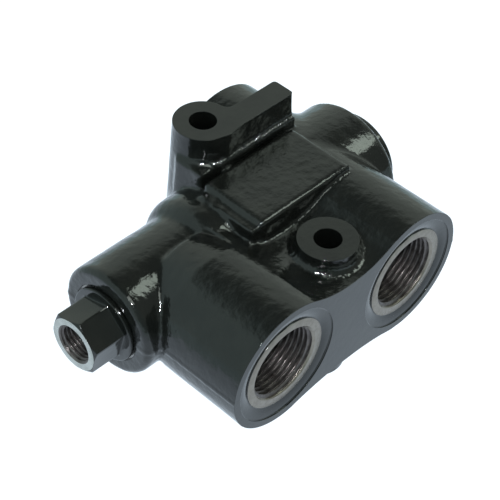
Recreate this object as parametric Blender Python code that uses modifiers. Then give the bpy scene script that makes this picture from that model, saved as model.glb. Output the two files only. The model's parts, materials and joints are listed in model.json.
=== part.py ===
"""Hydraulic load-sensing priority valve in a cast monoblock housing, modelled as its separate pieces.

Every size below is in millimetres, measured from the spool axis: X runs along the spool, from the
load-sensing adapter at -X to the end plug at +X, -Y is the face with the two front ports, and +Z is up.
One empty carries the whole valve, so that it stands on its two bolt feet with its base centre at the
world's origin.
"""
from math import asin, cos, degrees, pi, radians, sin

import bmesh
import bpy
from mathutils import Matrix, Vector

MM = 0.001
GAP = 0.3                       # clearance between pieces that touch or screw together

# Housing
PORT_X = 28.0                   # the front ports stand at plus and minus this
REAR_PORT_X = 29.5
FRONT_Y = -50.0
REAR_Y = 37.0
PORT_BOSS_R = 22.7
REAR_BOSS_R = 22.2
WEB_WAIST = (16.0, 19.6)        # least height of the web between the front ports, above and below
LEFT_END_X = -55.8
LEFT_BOSS_R = 18.7
RIGHT_END_X = 54.6
BARREL_R = 22.2
SHOULDER_X = (-22.0, -17.0)
FOOT_Z = -30.5                  # underside of both bolt bosses

# Bolt bosses: centre and height; both draw in above and below the mould's parting plane
REAR_BOLT = (2.1, 18.0, 36.3)
MID_BOLT = (3.5, -35.4, 21.7)
BOLT_BOSS_TOP_R = 9.7
BOLT_BOSS_MIDDLE_R = 11.0
BOLT_BOSS_MIDDLE_Z = 4.0
BOLT_BOSS_FOOT_R = 9.6
BOLT_HOLE_R = 4.5               # clearance for M8

# Raised pad, its low left strip, and the rib beside it: x, y and top
PAD = (-9.2, 31.4, -19.6, 4.8, 24.7)
PAD_STRIP = (-12.6, -8.0, -18.6, 4.0, 22.9)
RIB = (3.0, 33.5, 8.3, 16.7, 36.3)
RIB_ROOT = (-9.0, 34.5, 6.6, 18.4, 27.6)

# Threaded ports, G 3/4 in the housing and G 1/4 in the adapter
PORT_THREAD_R = 12.06
PORT_THREAD_DEPTH = 17.5
PORT_FLOOR_R = 8.3              # where the drill point ends, below the thread
PORT_FLOOR_DEPTH = 1.7
PORT_CHAMFER_R = 13.3
PORT_FACE_R = 16.1              # machined sealing face, raised a little in the spotfaced recess
PORT_FACE_DEPTH = 1.0
PORT_RECESS_R = 20.2
PORT_RECESS_INNER_R = 16.9
PORT_RECESS_DEPTH = 1.5
LS_THREAD_R = 5.72

# Flow passages and the grooves that they feed in the spool bore
PASSAGE_R = 5.5
GROOVE_R = 12.5
GROOVE_HALF_WIDTH = 6.0
LEFT_PASSAGE_X = -22.0
REAR_PASSAGE_X = 19.2
RIGHT_PASSAGE_X = 34.0

# Spool and its bore
BORE_R = 9.0
SPOOL_R = 8.75
SPOOL_LEFT_X = -36.0
SPOOL_RIGHT_X = 51.9
SPRING_POCKET_R = 6.8
SPRING_POCKET_X = -23.5
STROKE = 9.0

# Load-sensing adapter at the left end
ADAPTER_END_X = -68.9
ADAPTER_HEX_AF = 18.0
ADAPTER_HEX_TURN = -17.0        # degrees
ADAPTER_FLANGE_R = 12.7
ADAPTER_FLANGE_X = (-57.3, -55.3)
ADAPTER_RECESS_R = 13.3
ADAPTER_THREAD_R = 10.0
ADAPTER_INNER_X = SPOOL_LEFT_X - STROKE - GAP
ADAPTER_SEAL_X = (ADAPTER_FLANGE_X[1], -52.1)
LS_THREAD_FLOOR_X = -57.0

# End plug at the right end
PLUG_HEAD_R = 15.6
PLUG_HEAD_X = (54.9, 61.2)
PLUG_THREAD_R = 13.2
PLUG_INNER_X = 47.3
PLUG_CUP_R = 9.8
PLUG_CUP_X = 53.3
PLUG_SEAL_X = (51.4, PLUG_HEAD_X[0])
PLUG_SOCKET_AF = 12.0

# Control spring
SPRING_R = 5.0                  # mean radius of the coils
SPRING_WIRE_R = 0.9
SPRING_TURNS = 5
SPRING_X = (-45.4, SPRING_POCKET_X - 1.4)

# The whole valve's frame
CENTRE_X = (ADAPTER_END_X + PLUG_HEAD_X[1]) / 2
CENTRE_Y = (FRONT_Y + REAR_Y) / 2

ALONG_X = (0, pi / 2, 0)        # turns a shape's own Z to +X
ALONG_Y = (-pi / 2, 0, 0)       # turns it to +Y
ALONG_Z = (0, 0, 0)

LARGE = 48                      # sides of a large round, then of smaller ones
MEDIUM = 28
SMALL = 20
CUTTER_SPIN = 3.7               # degrees, so that a hole's corners miss the boss's own edges


def clear_scene():
    for old in list(bpy.data.objects):
        bpy.data.objects.remove(old, do_unlink=True)
    for old in list(bpy.data.collections):
        bpy.data.collections.remove(old)


def new_collection(name):
    collection = bpy.data.collections.new(name)
    bpy.context.scene.collection.children.link(collection)
    return collection


def metal(name, colour, roughness, metallic):
    material = bpy.data.materials.new(name)
    material.use_nodes = True
    shader = material.node_tree.nodes["Principled BSDF"]
    shader.inputs["Base Color"].default_value = (*colour, 1.0)
    shader.inputs["Roughness"].default_value = roughness
    shader.inputs["Metallic"].default_value = metallic
    material.diffuse_color = (*colour, 1.0)
    return material


clear_scene()
PARTS = new_collection("hydraulic_monoblock_valve")
CUTTERS = new_collection("cutters")

BLACK_PAINT = metal("black_paint", (0.012, 0.014, 0.015), 0.16, 0.0)
BARE_STEEL = metal("bare_steel", (0.42, 0.42, 0.40), 0.35, 1.0)
GROUND_STEEL = metal("ground_steel", (0.55, 0.55, 0.56), 0.18, 1.0)
SPRING_STEEL = metal("spring_steel", (0.20, 0.20, 0.21), 0.30, 1.0)
BRASS = metal("brass", (0.60, 0.42, 0.16), 0.30, 1.0)
RUBBER = metal("nitrile_rubber", (0.015, 0.015, 0.016), 0.55, 0.0)
PTFE = metal("ptfe", (0.80, 0.79, 0.75), 0.45, 0.0)

FRAME = bpy.data.objects.new("valve_frame", None)
FRAME.location = Vector((-CENTRE_X, -CENTRE_Y, -FOOT_Z)) * MM
PARTS.objects.link(FRAME)


def add_object(name, data, at, turn, material):
    """Put a piece in the valve, or a cutting or joining shape in its collection if it has no material."""
    shape = bpy.data.objects.new(name, data)
    shape.location = Vector(at) * MM
    shape.rotation_euler = turn
    shape.parent = FRAME
    if material is None:
        CUTTERS.objects.link(shape)
        shape.hide_render = True
        shape.display_type = "WIRE"
    else:
        PARTS.objects.link(shape)
        data.materials.append(material)
    return shape


def finish_bmesh(bm, name):
    bmesh.ops.recalc_face_normals(bm, faces=bm.faces)
    mesh = bpy.data.meshes.new(name)
    bm.to_mesh(mesh)
    bm.free()
    mesh.shade_smooth()
    mesh.set_sharp_from_angle(angle=radians(32))
    return mesh


def prism(name, start, length, radius, end_radius=None, axis=ALONG_Z, sides=MEDIUM, spin=0.0, material=None):
    """A cylinder, cone or regular prism that runs from start along axis."""
    bm = bmesh.new()
    far_radius = radius if end_radius is None else end_radius
    bmesh.ops.create_cone(
        bm,
        cap_ends=True,
        segments=sides,
        radius1=radius * MM,
        radius2=far_radius * MM,
        depth=length * MM,
    )
    bmesh.ops.translate(bm, verts=bm.verts, vec=(0, 0, length * MM / 2))
    bmesh.ops.rotate(bm, verts=bm.verts, matrix=Matrix.Rotation(radians(spin), 3, "Z"))
    return add_object(name, finish_bmesh(bm, name), start, axis, material)


def block(name, x_low, x_high, y_low, y_high, z_low, z_high, edge=0.0):
    """A box with its upright edges and its top edges rounded by edge."""
    bm = bmesh.new()
    bmesh.ops.create_cube(bm, size=1.0)
    size = Vector((x_high - x_low, y_high - y_low, z_high - z_low)) * MM
    bmesh.ops.scale(bm, verts=bm.verts, vec=size)
    centre = ((x_low + x_high) / 2, (y_low + y_high) / 2, (z_low + z_high) / 2)
    shape = add_object(name, finish_bmesh(bm, name), centre, ALONG_Z, None)
    if edge:
        bevel = shape.modifiers.new("rounded_edges", "BEVEL")
        bevel.width = edge * MM
        bevel.segments = 3
    return shape


def turned(name, profile, axis=ALONG_X, at=(0, 0, 0), sides=MEDIUM, spin=0.0, material=None):
    """A turned shape: profile lists radius and height, from the top down the outer side."""
    mesh = bpy.data.meshes.new(name)
    bm = bmesh.new()
    out = Vector((cos(radians(spin)), sin(radians(spin)), 0))
    corners = [bm.verts.new((out * radius + Vector((0, 0, height))) * MM) for radius, height in profile]
    for first, second in zip(corners, corners[1:]):
        bm.edges.new((first, second))
    if profile[0][0] > 0:
        bm.edges.new((corners[-1], corners[0]))
    bm.to_mesh(mesh)
    bm.free()
    shape = add_object(name, mesh, at, axis, material)
    screw = shape.modifiers.new("turned", "SCREW")
    screw.axis = "Z"
    screw.angle = 2 * pi
    screw.steps = sides
    screw.render_steps = sides
    screw.use_merge_vertices = True
    screw.merge_threshold = 0.00001
    screw.use_smooth_shade = True
    return shape


def plate(name, outline, low, high):
    """A flat outline in X and Z, extruded along Y from low to high, as a mesh that can be joined."""
    curve = bpy.data.curves.new(name, "CURVE")
    curve.dimensions = "2D"
    curve.fill_mode = "BOTH"
    curve.extrude = (high - low) / 2 * MM
    spline = curve.splines.new("POLY")
    spline.points.add(len(outline) - 1)
    for point, (x, z) in zip(spline.points, outline):
        point.co = (x * MM, z * MM, 0, 1)
    spline.use_cyclic_u = True
    flat = bpy.data.objects.new(name + "_outline", curve)
    CUTTERS.objects.link(flat)
    bpy.context.view_layer.update()
    solid = bpy.data.meshes.new_from_object(flat.evaluated_get(bpy.context.evaluated_depsgraph_get()))
    bpy.data.objects.remove(flat, do_unlink=True)
    bm = bmesh.new()
    bm.from_mesh(solid)
    bmesh.ops.remove_doubles(bm, verts=bm.verts, dist=0.000001)
    bpy.data.meshes.remove(solid)
    return add_object(name, finish_bmesh(bm, name), (0, (low + high) / 2, 0), (pi / 2, 0, 0), None)


def combine(target, shape, operation):
    boolean = target.modifiers.new(shape.name, "BOOLEAN")
    boolean.operation = operation
    boolean.object = shape
    boolean.solver = "EXACT"


def join(target, *shapes):
    for shape in shapes:
        combine(target, shape, "UNION")


def cut(target, *shapes):
    for shape in shapes:
        combine(target, shape, "DIFFERENCE")


def arc(centre, radius, start, end, steps):
    """Points on an arc from start to end degrees, both ends included."""
    angles = [radians(start + (end - start) * step / steps) for step in range(steps + 1)]
    return [(centre[0] + radius * cos(a), centre[1] + radius * sin(a)) for a in angles]


def web_arc(waist):
    """A hollow arc from one front port boss to the other, tangent to both, with its middle at the waist."""
    hollow_r = (PORT_X**2 + waist**2 - PORT_BOSS_R**2) / (2 * (PORT_BOSS_R - waist))
    reach = PORT_X * hollow_r / (PORT_BOSS_R + hollow_r)
    half_angle = 90 - degrees(asin(reach / hollow_r))
    return arc((0, waist + hollow_r), hollow_r, 180 + half_angle, 360 - half_angle, 10)


def web_outline():
    """The web between the front ports, hollow above and less so below; its ends lie inside the bosses."""
    above, below = WEB_WAIST
    upper = web_arc(above)
    lower = [(x, -z) for x, z in reversed(web_arc(below))]
    inside = PORT_X - 4.0
    return [(-inside, upper[0][1])] + upper + [(inside, upper[-1][1]), (inside, lower[0][1])] + lower + [
        (-inside, lower[-1][1])
    ]


def bolt_boss(name, place):
    x, y, top = place
    profile = [
        (0, top),
        (BOLT_BOSS_TOP_R, top),
        (BOLT_BOSS_MIDDLE_R, BOLT_BOSS_MIDDLE_Z),
        (BOLT_BOSS_FOOT_R, FOOT_Z),
        (0, FOOT_Z),
    ]
    return turned(name, profile, axis=ALONG_Z, at=(x, y, 0))


def housing_shape():
    """The casting before machining: barrel, port bosses, web, pad, rib and bolt bosses in one."""
    barrel = turned(
        "valve_body",
        [
            (0, RIGHT_END_X),
            (BARREL_R - 1.2, RIGHT_END_X),
            (BARREL_R, RIGHT_END_X - 1.2),
            (BARREL_R, SHOULDER_X[1]),
            (BARREL_R - 0.9, SHOULDER_X[1] - 2.2),
            (LEFT_BOSS_R, SHOULDER_X[0]),
            (LEFT_BOSS_R, LEFT_END_X + 2.4),
            (LEFT_BOSS_R - 0.8, LEFT_END_X + 0.7),
            (LEFT_BOSS_R - 2.4, LEFT_END_X),
            (0, LEFT_END_X),
        ],
        sides=LARGE,
        material=BLACK_PAINT,
    )
    left_port = prism(
        "left_port_boss", (-PORT_X, FRONT_Y, 0), -8.0 - FRONT_Y, PORT_BOSS_R, axis=ALONG_Y, sides=LARGE
    )
    right_port = prism(
        "right_port_boss", (PORT_X, FRONT_Y, 0), -1.0 - FRONT_Y, PORT_BOSS_R, axis=ALONG_Y, sides=LARGE
    )
    rear_port = prism("rear_port_boss", (REAR_PORT_X, 2.0, 0), REAR_Y - 2.0, REAR_BOSS_R, axis=ALONG_Y, sides=40)
    web = plate("port_web", web_outline(), FRONT_Y, -6.0)
    pad = block("top_pad", *PAD[:4], 3.0, PAD[4], edge=0.8)
    strip = block("pad_strip", *PAD_STRIP[:4], 4.0, PAD_STRIP[4])
    root = block("rib_root", *RIB_ROOT[:4], 5.0, RIB_ROOT[4])
    rib = block("rib", *RIB[:4], 6.0, RIB[4], edge=1.5)
    join(barrel, left_port, right_port, rear_port, web, pad, strip, root, rib)
    join(barrel, bolt_boss("rear_bolt_boss", REAR_BOLT), bolt_boss("mid_bolt_boss", MID_BOLT))
    return barrel


def port_cutter(name, x, face_y, outward):
    """A threaded port with its chamfer, raised sealing face and spotfaced recess."""
    chamfer = PORT_CHAMFER_R - PORT_THREAD_R
    floor = -PORT_THREAD_DEPTH - PORT_FLOOR_DEPTH
    profile = [
        (0, 4.0),
        (PORT_RECESS_R, 4.0),
        (PORT_RECESS_R, -PORT_RECESS_DEPTH),
        (PORT_RECESS_INNER_R, -PORT_RECESS_DEPTH),
        (PORT_FACE_R, -PORT_FACE_DEPTH),
        (PORT_CHAMFER_R, -PORT_FACE_DEPTH),
        (PORT_THREAD_R, -PORT_FACE_DEPTH - chamfer),
        (PORT_THREAD_R, -PORT_THREAD_DEPTH),
        (PORT_FLOOR_R, floor),
        (0, floor),
    ]
    axis = (outward * -pi / 2, 0, 0)
    return turned(name, profile, axis=axis, at=(x, face_y, 0), sides=36, spin=CUTTER_SPIN)


def passage(name, x, start_y, end_y):
    return prism(name, (x, start_y, 0), end_y - start_y, PASSAGE_R, axis=ALONG_Y, sides=SMALL)


def spool_bore():
    """The stepped bore for the spool, with three flow grooves and the seats of adapter and plug."""
    steps = [(0, 62.0), (PLUG_THREAD_R + GAP, 62.0), (PLUG_THREAD_R + GAP, PLUG_INNER_X - GAP)]
    steps.append((BORE_R, PLUG_INNER_X - GAP))
    for middle in (RIGHT_PASSAGE_X, REAR_PASSAGE_X, LEFT_PASSAGE_X):
        steps += [
            (BORE_R, middle + GROOVE_HALF_WIDTH),
            (GROOVE_R, middle + GROOVE_HALF_WIDTH),
            (GROOVE_R, middle - GROOVE_HALF_WIDTH),
            (BORE_R, middle - GROOVE_HALF_WIDTH),
        ]
    steps += [
        (BORE_R, ADAPTER_INNER_X + 1.3),
        (ADAPTER_THREAD_R + GAP, ADAPTER_INNER_X + 1.3),
        (ADAPTER_THREAD_R + GAP, ADAPTER_FLANGE_X[1] + GAP),
        (ADAPTER_RECESS_R, ADAPTER_FLANGE_X[1] + GAP),
        (ADAPTER_RECESS_R, -62.0),
        (0, -62.0),
    ]
    return turned("spool_bore", steps, sides=36, spin=CUTTER_SPIN)


def make_valve_body():
    body = housing_shape()
    cut(
        body,
        port_cutter("left_port", -PORT_X, FRONT_Y, -1),
        port_cutter("right_port", PORT_X, FRONT_Y, -1),
        port_cutter("rear_port", REAR_PORT_X, REAR_Y, 1),
        spool_bore(),
    )
    port_floor = FRONT_Y + PORT_THREAD_DEPTH
    cut(
        body,
        passage("left_passage", LEFT_PASSAGE_X, port_floor - 1.0, 0.0),
        passage("right_passage", RIGHT_PASSAGE_X, port_floor - 1.0, 0.0),
        passage("rear_passage", REAR_PASSAGE_X, 0.0, REAR_Y - PORT_THREAD_DEPTH + 0.8),
    )
    for name, (x, y, top) in (("rear_bolt_hole", REAR_BOLT), ("mid_bolt_hole", MID_BOLT)):
        cut(body, prism(name, (x, y, FOOT_Z - 4.0), top - FOOT_Z + 8.0, BOLT_HOLE_R, spin=CUTTER_SPIN))


def hexagon(name, across_flats, start_x, length, spin):
    corner_r = across_flats / 2 / cos(pi / 6)
    return prism(name, (start_x, 0, 0), length, corner_r, axis=ALONG_X, sides=6, spin=spin)


def make_adapter():
    """The hexagon adapter that holds the load-sensing port, its jet and the spring seat."""
    hex_length = ADAPTER_FLANGE_X[0] - ADAPTER_END_X
    corner_r = ADAPTER_HEX_AF / 2 / cos(pi / 6)
    adapter = turned(
        "ls_port_adapter",
        [
            (0, ADAPTER_INNER_X),
            (ADAPTER_THREAD_R - 0.8, ADAPTER_INNER_X),
            (ADAPTER_THREAD_R, ADAPTER_INNER_X - 0.8),
            (ADAPTER_THREAD_R, ADAPTER_SEAL_X[1]),
            (8.4, ADAPTER_SEAL_X[1]),
            (8.4, ADAPTER_SEAL_X[0]),
            (ADAPTER_FLANGE_R, ADAPTER_SEAL_X[0]),
            (ADAPTER_FLANGE_R, ADAPTER_FLANGE_X[0] + 0.4),
            (ADAPTER_FLANGE_R - 0.4, ADAPTER_FLANGE_X[0]),
            (corner_r + 0.05, ADAPTER_FLANGE_X[0]),
            (corner_r + 0.05, ADAPTER_END_X + 0.75),
            (ADAPTER_HEX_AF / 2 + 0.1, ADAPTER_END_X),
            (0, ADAPTER_END_X),
        ],
        sides=MEDIUM,
        material=BLACK_PAINT,
    )
    waste = prism("hex_waste", (ADAPTER_END_X - 2.0, 0, 0), hex_length + 2.0, 14.0, axis=ALONG_X, sides=MEDIUM)
    keep = hexagon("hex_form", ADAPTER_HEX_AF, ADAPTER_END_X - 4.0, hex_length + 8.0, ADAPTER_HEX_TURN)
    cut(waste, keep)
    hollow = turned(
        "adapter_hollow",
        [
            (0, ADAPTER_INNER_X + 3.0),
            (7.2, ADAPTER_INNER_X + 3.0),
            (7.2, -49.0),
            (1.5, -49.0),
            (1.5, -52.0),
            (3.2, -52.0),
            (3.2, LS_THREAD_FLOOR_X),
            (LS_THREAD_R, LS_THREAD_FLOOR_X),
            (LS_THREAD_R, ADAPTER_END_X + 1.1),
            (LS_THREAD_R + 1.1, ADAPTER_END_X),
            (LS_THREAD_R + 1.1, ADAPTER_END_X - 2.0),
            (0, ADAPTER_END_X - 2.0),
        ],
        sides=MEDIUM,
    )
    cut(adapter, waste, hollow)


def ring(name, inner, outer, low, high, material, sides=MEDIUM):
    """A flat ring between two radii, from low to high along the spool axis."""
    return turned(name, [(inner, high), (outer, high), (outer, low), (inner, low)], sides=sides, material=material)


def o_ring(name, mean_r, cord_r, x):
    """An O-ring, its round section turned about the spool axis."""
    section = [(mean_r + cord_r * sin(a), x + cord_r * cos(a)) for a in (2 * pi * k / 8 for k in range(8))]
    return turned(name, section, sides=MEDIUM, material=RUBBER)


def jet(name, low, high, radius, slot_high):
    """A screwed brass jet with a fine bore and a driver slot in one end."""
    body = turned(
        name,
        [(0.5, high), (radius, high), (radius, low), (0.5, low)],
        sides=SMALL,
        material=BRASS,
    )
    slot_x = (high - 0.8, high + 1.0) if slot_high else (low - 1.0, low + 0.8)
    cut(body, block(name + "_slot", *slot_x, -radius - 1, radius + 1, -0.35, 0.35))


def screen(name, low, high, radius):
    """A sintered filter disc, with a shallow dimple in its middle."""
    turned(
        name,
        [(0, high - 0.2), (radius * 0.45, high - 0.2), (radius * 0.6, high), (radius, high), (radius, low), (0, low)],
        sides=SMALL,
        material=BRASS,
    )


def make_adapter_fittings():
    o_ring("ls_adapter_o_ring", 9.3, 0.7, -54.2)
    ring("ls_adapter_backup_ring", 8.65, 9.95, -53.2, -52.4, PTFE)
    jet("ls_inlet_jet", -56.7, -52.3, 2.9, False)
    screen("ls_filter_screen", -58.1, -57.3, 5.3)
    retainer = ring("ls_filter_retaining_ring", 4.3, 5.4, -59.2, -58.4, SPRING_STEEL)
    cut(retainer, block("retainer_gap", -60.0, -58.0, -0.8, 0.8, 3.0, 7.0))
    turned(
        "spring_seat",
        [(1.0, -42.5), (3.4, -42.5), (3.8, -43.0), (3.8, -47.2), (6.9, -47.2), (6.9, -48.7), (1.0, -48.7)],
        sides=SMALL,
        material=BARE_STEEL,
    )
    ring("preload_shim_thick", 4.2, 6.6, -46.9, -46.3, BARE_STEEL, sides=SMALL)
    ring("preload_shim_thin", 4.2, 6.6, -46.0, -45.7, BARE_STEEL, sides=SMALL)


def spring_points():
    """Centre line of the control spring: one closed turn at each end and open turns between."""
    start = SPRING_X[0] + SPRING_WIRE_R
    end = SPRING_X[1] - SPRING_WIRE_R
    per_turn = 14
    total = SPRING_TURNS * per_turn
    closed_rise = 2 * SPRING_WIRE_R + 0.25
    open_rise = (end - start - 2 * closed_rise) / (SPRING_TURNS - 2)
    points = []
    for step in range(total + 1):
        turn = step / per_turn
        middle = min(max(turn - 1, 0), SPRING_TURNS - 2)
        ends = min(turn, 1) + max(turn - (SPRING_TURNS - 1), 0)
        x = start + closed_rise * ends + open_rise * middle
        points.append((x, SPRING_R * cos(2 * pi * turn), SPRING_R * sin(2 * pi * turn)))
    return points


def make_spring():
    curve = bpy.data.curves.new("control_spring", "CURVE")
    curve.dimensions = "3D"
    curve.bevel_depth = SPRING_WIRE_R * MM
    curve.bevel_resolution = 2
    curve.use_fill_caps = True
    spline = curve.splines.new("POLY")
    points = spring_points()
    spline.points.add(len(points) - 1)
    for point, place in zip(spline.points, points):
        point.co = (*(Vector(place) * MM), 1)
    add_object("control_spring", curve, (0, 0, 0), ALONG_Z, SPRING_STEEL)


def make_spool():
    """The priority spool: three lands, two flow waists, and the drilled pilot passage."""
    spool = turned(
        "priority_spool",
        [
            (0, SPOOL_RIGHT_X),
            (SPOOL_R - 0.5, SPOOL_RIGHT_X),
            (SPOOL_R, SPOOL_RIGHT_X - 0.5),
            (SPOOL_R, 43.0),
            (6.0, 42.0),
            (6.0, 31.0),
            (SPOOL_R, 30.0),
            (SPOOL_R, 22.0),
            (5.4, 20.5),
            (5.4, -20.0),
            (SPOOL_R, -22.0),
            (SPOOL_R, SPOOL_LEFT_X + 0.5),
            (SPOOL_R - 0.5, SPOOL_LEFT_X),
            (0, SPOOL_LEFT_X),
        ],
        sides=36,
        material=GROUND_STEEL,
    )
    drilling = turned(
        "spool_drilling",
        [
            (0, SPOOL_RIGHT_X + 2.0),
            (3.2, SPOOL_RIGHT_X + 2.0),
            (3.2, 45.0),
            (1.2, 45.0),
            (1.2, -18.5),
            (2.4, -18.5),
            (2.4, SPRING_POCKET_X),
            (SPRING_POCKET_R, SPRING_POCKET_X),
            (SPRING_POCKET_R, SPOOL_LEFT_X - 2.0),
            (0, SPOOL_LEFT_X - 2.0),
        ],
        sides=24,
    )
    cross_hole = prism("spool_cross_hole", (-2.0, 0, -8.0), 16.0, 1.0, sides=12)
    cut(spool, drilling, cross_hole)
    jet("ls_bleed_jet", -23.2, -18.8, 2.1, False)
    jet("pilot_damping_jet", 46.3, 51.4, 2.9, True)
    screen("pilot_filter_screen", 45.3, 46.0, 2.9)
    ring("spool_spring_seat", 1.6, 6.5, SPRING_POCKET_X - 1.1, SPRING_POCKET_X - GAP, BARE_STEEL, sides=SMALL)


def make_end_plug():
    plug = turned(
        "end_plug",
        [
            (0, PLUG_HEAD_X[1]),
            (PLUG_HEAD_R - 0.7, PLUG_HEAD_X[1]),
            (PLUG_HEAD_R, PLUG_HEAD_X[1] - 0.7),
            (PLUG_HEAD_R, PLUG_SEAL_X[1]),
            (11.3, PLUG_SEAL_X[1]),
            (11.3, PLUG_SEAL_X[0]),
            (PLUG_THREAD_R, PLUG_SEAL_X[0]),
            (PLUG_THREAD_R, PLUG_INNER_X + 0.8),
            (PLUG_THREAD_R - 0.8, PLUG_INNER_X),
            (PLUG_CUP_R, PLUG_INNER_X),
            (PLUG_CUP_R, PLUG_CUP_X),
            (0, PLUG_CUP_X),
        ],
        sides=40,
        material=BLACK_PAINT,
    )
    cut(plug, hexagon("plug_socket", PLUG_SOCKET_AF, PLUG_HEAD_X[1] - 4.4, 8.0, 0.0))
    o_ring("end_plug_o_ring", 12.4, 0.75, 53.7)
    ring("end_plug_backup_ring", 11.6, 13.15, 51.9, 52.7, PTFE)
    ring("spool_stop_washer", 2.2, 9.4, 52.2, 53.0, BARE_STEEL)


make_valve_body()
make_adapter()
make_adapter_fittings()
make_spring()
make_spool()
make_end_plug()
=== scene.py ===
"""The looks of the hydraulic monoblock valve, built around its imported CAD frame.

Shapes are worked out in millimetres from the point on the spool axis midway between the two front ports,
with the frame's own axes: X along the spool, -Y out of the front ports and +Z up along the bolts.
"""
import json
from math import cos, hypot, pi, radians, sin, sqrt, tan

import bmesh
import bpy
import numpy as np
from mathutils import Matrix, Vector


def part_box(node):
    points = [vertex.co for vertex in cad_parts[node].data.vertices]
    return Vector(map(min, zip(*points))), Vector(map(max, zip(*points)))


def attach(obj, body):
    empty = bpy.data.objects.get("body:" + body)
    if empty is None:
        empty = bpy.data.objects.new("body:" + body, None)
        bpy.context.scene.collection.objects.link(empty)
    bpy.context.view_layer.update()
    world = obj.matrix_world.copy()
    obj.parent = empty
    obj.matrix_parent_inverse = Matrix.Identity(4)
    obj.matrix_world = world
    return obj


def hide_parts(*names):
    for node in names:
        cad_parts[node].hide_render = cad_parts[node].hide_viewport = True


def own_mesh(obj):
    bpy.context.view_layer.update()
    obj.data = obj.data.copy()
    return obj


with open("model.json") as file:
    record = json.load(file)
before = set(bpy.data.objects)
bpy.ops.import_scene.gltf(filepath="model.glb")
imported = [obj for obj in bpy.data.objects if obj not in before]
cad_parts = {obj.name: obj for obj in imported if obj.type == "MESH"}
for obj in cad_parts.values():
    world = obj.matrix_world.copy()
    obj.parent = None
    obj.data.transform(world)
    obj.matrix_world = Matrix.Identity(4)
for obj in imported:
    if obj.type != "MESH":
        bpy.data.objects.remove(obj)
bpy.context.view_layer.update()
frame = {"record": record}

import openvdb
from mathutils import Matrix, Vector, noise

MM = 0.001

# Places that the frame gives
MOUNTS = {mount["name"]: Vector(mount["pos_m"]) for mount in frame["record"]["mounts"]}
BODY_LOW, BODY_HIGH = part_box("valve_body")
SPOOL_LOW, SPOOL_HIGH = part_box("priority_spool")
ORIGIN = (SPOOL_LOW + SPOOL_HIGH) / 2
ORIGIN.x = (MOUNTS["left_port_face"].x + MOUNTS["right_port_face"].x) / 2


def local(point):
    """A point of the frame, in millimetres from the origin on the spool axis."""
    return (Vector(point) - ORIGIN) / MM


def span(node):
    """The node's two ends along the spool axis, and its outer radius."""
    low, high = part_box(node)
    return local(low).x, local(high).x, (high.z - low.z) / 2 / MM


LEFT_END_X, FRONT_Y, FOOT_Z = local(BODY_LOW)
RIGHT_END_X, REAR_Y, RIB_TOP_Z = local(BODY_HIGH)
PORT_X = local(MOUNTS["right_port_face"]).x
REAR_PORT_X = local(MOUNTS["rear_port_face"]).x
PAD_Z = local(MOUNTS["top_pad"]).z
MID_TOP_Z = local(MOUNTS["mid_bolt_seat"]).z
REAR_BOLT = (2.1, local(MOUNTS["rear_bolt_seat"]).y)
MID_BOLT = (3.5, local(MOUNTS["mid_bolt_seat"]).y)

# Casting
PORT_BOSS_R = 22.7
REAR_BOSS_R = 22.2
LEFT_BOSS_R = 18.7
WEB_WAIST = (16.0, 19.6)  # least height of the web, above and below the spool axis
WEB_BACK_Y = -6.0
BOLT_BOSS_TOP_R = 9.7
BOLT_BOSS_MIDDLE_R = 11.0
BOLT_BOSS_MIDDLE_Z = 4.0
BOLT_BOSS_FOOT_R = 9.6
BOLT_HOLE_R = 4.5
SHOULDER = (  # x and radius along the soft cone from the left boss to the barrel
    (-22.5, 17.8), (-22.0, 18.7), (-20.6, 20.4), (-19.0, 21.4), (-17.0, 22.0), (-14.0, 22.2),
)
SHOULDER_SLOPE = 0.75  # shrinks distances to allow for the shoulder's steepest slope
LEFT_PORT_TAPER = (-18.0, 20.4)  # where the left port boss starts to draw in, and its radius at the back
LEFT_PORT_BACK = -4.5
MACHINING = 1.5  # stock on the casting that machining takes off
PARTING_RIDGE = (0.28, 0.55)  # height and half width of the mould's seam
VOXEL = 0.7
BAND = 3.0  # distances are kept exact this far from the skin

# The raised pad, its low left strip, the rib and the rib's wider root: two corners of each
PAD_FRONT_Y = -19.6
ROOT_FRONT_Y = 7.3
ROOT_TOP_Z = 27.6
RIB_FRONT_Y = 8.3
PAD = ((-9.2, PAD_FRONT_Y, 3.0), (31.4, 6.3, PAD_Z))
PAD_STRIP = ((-12.6, -18.6, 4.0), (-6.0, 4.0, 22.9))
RIB = ((3.0, RIB_FRONT_Y, 6.0), (33.5, 16.7, RIB_TOP_Z + MACHINING))
RIB_ROOT = ((-9.0, ROOT_FRONT_Y, 5.0), (34.5, 18.3, ROOT_TOP_Z - 0.9))

# Paint gathered in corners: where it runs, how finely it is drawn, and how round it is
LEDGE_X = (-3.6, 33.2)
LEDGE_STEP = 0.35
LEDGE_ROUND = 1.25
LEDGE_BOSS_R = 10.5  # the rear bolt boss at the height of the ledge
PAD_BEAD_X = (-7.5, 30.6)
PAD_BEAD_STEP = 0.4
PAD_BEAD_R = 1.7
BOSS_BEAD_R = 2.9
BOSS_BEAD_STEPS = 160
BOSS_BEAD_WALL = 10.2  # the middle bolt boss at its foot

# Threaded ports; each thread gives its minor radius, the depth of its groove and its pitch
PORT_THREAD = (12.06, 1.16, 1.814)
LS_THREAD = (5.72, 0.86, 1.337)
PORT_RECESS_R = 20.2
PORT_RECESS_INNER_R = 16.7
PORT_RECESS_WALL = 0.5  # depth of the recess at its rim; its floor falls towards the ring
PORT_FACE_R = 16.1
PORT_FACE_DEPTH = 1.0
PORT_CHAMFER_R = 13.3
PORT_THREAD_END = 17.5
PORT_FLOOR_R = 8.3  # where the drill point ends, below the thread
PORT_FLOOR_DEPTH = 1.7

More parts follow.
